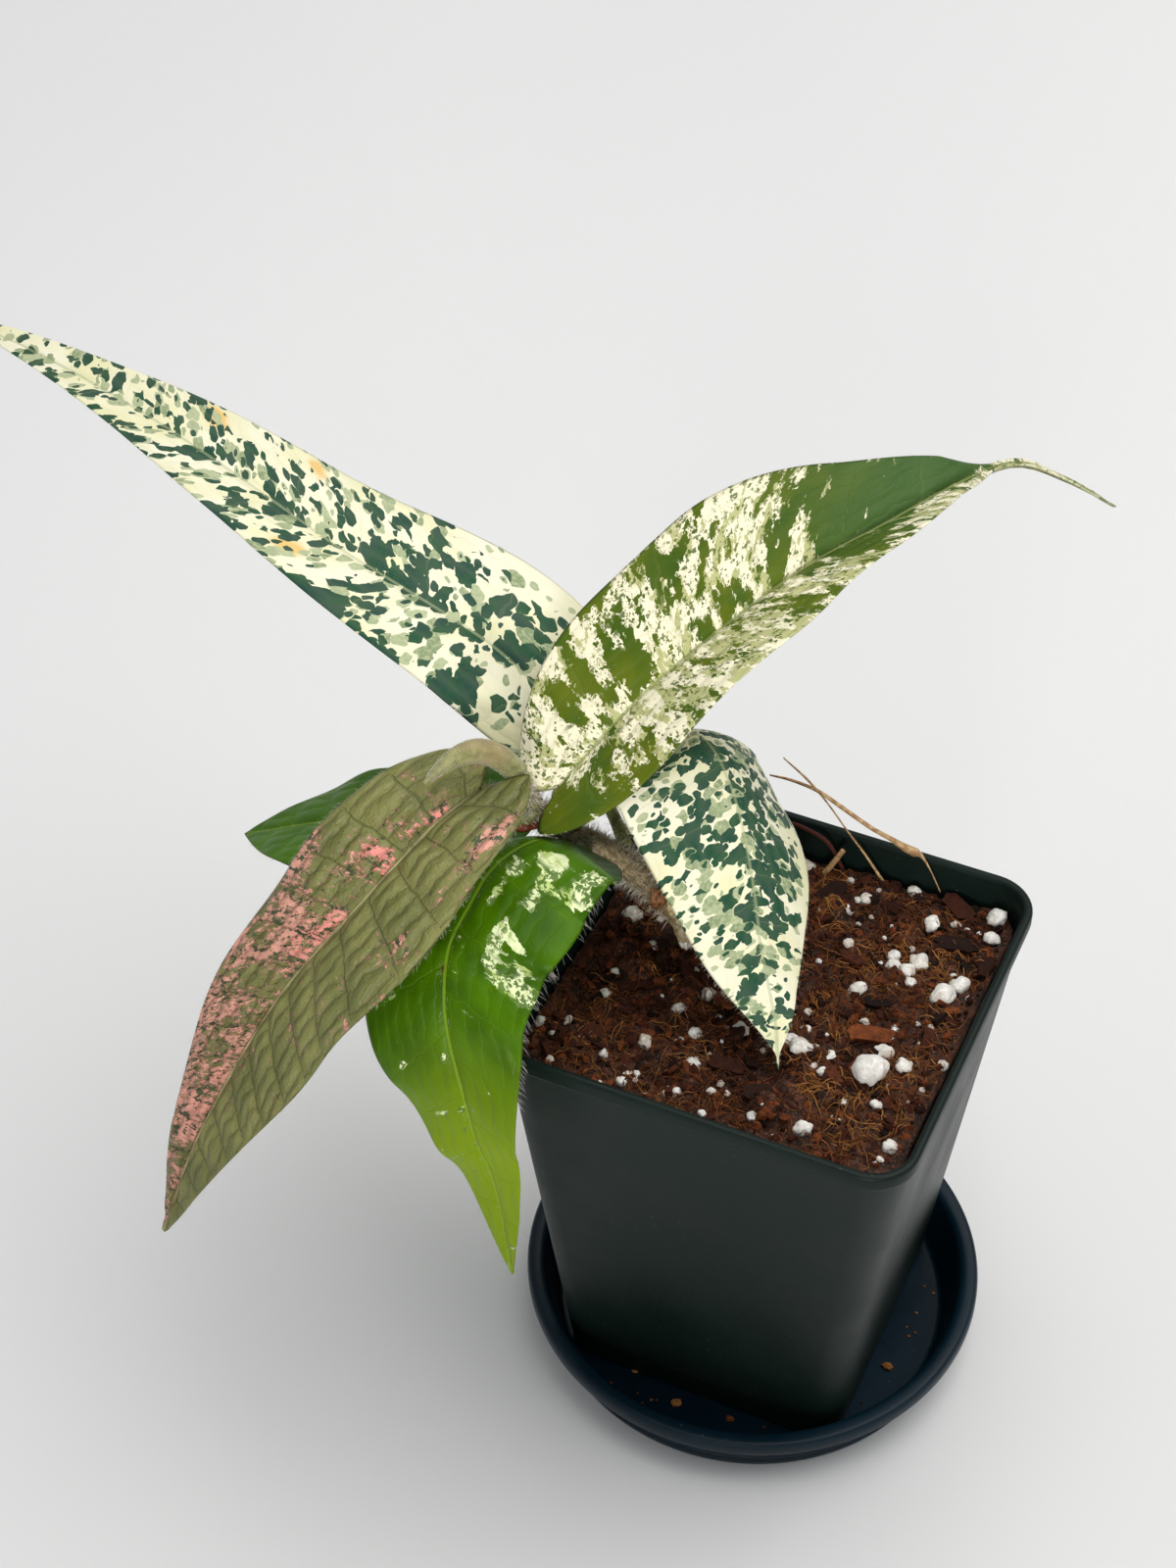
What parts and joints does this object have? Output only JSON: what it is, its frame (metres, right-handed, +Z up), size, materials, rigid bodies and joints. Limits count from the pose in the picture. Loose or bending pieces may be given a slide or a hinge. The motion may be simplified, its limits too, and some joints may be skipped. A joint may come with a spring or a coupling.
{
  "type": "potted ficus",
  "caption": "Young variegated fig plant with long pointed leaves in a square tapered nursery pot, standing on a round saucer.",
  "frame": {"origin": "on the table, under the middle of the saucer", "axes": "+Z up, -Y towards the viewer of the picture's front face of the pot, +X to the right"},
  "size_m": [0.268, 0.1924, 0.193],
  "materials": {
    "saucer_plastic": "satin",
    "pot_plastic": "satin",
    "potting_mix": "rough and damp",
    "hairy_bark": "hairy",
    "leaf_marbled": "satin, cream with dark blue-green blotches",
    "leaf_speckled": "satin, olive green with cream speckled patches",
    "leaf_bright": "glossy bright green",
    "leaf_young": "soft olive brown with pink speckles",
    "leaf_plain": "satin green",
    "bud_sheath": "felted"
  },
  "bodies": {
    "root": {"saucer": "saucer_plastic", "pot": "pot_plastic", "soil": "potting_mix", "stem": "hairy_bark", "leaf_back_left": "leaf_marbled", "leaf_right": "leaf_speckled", "leaf_low_right": "leaf_marbled", "leaf_front_drooping": "leaf_bright", "leaf_young_red": "leaf_young", "leaf_left_green": "leaf_plain", "bud": "bud_sheath"}
  },
  "joints": []
}
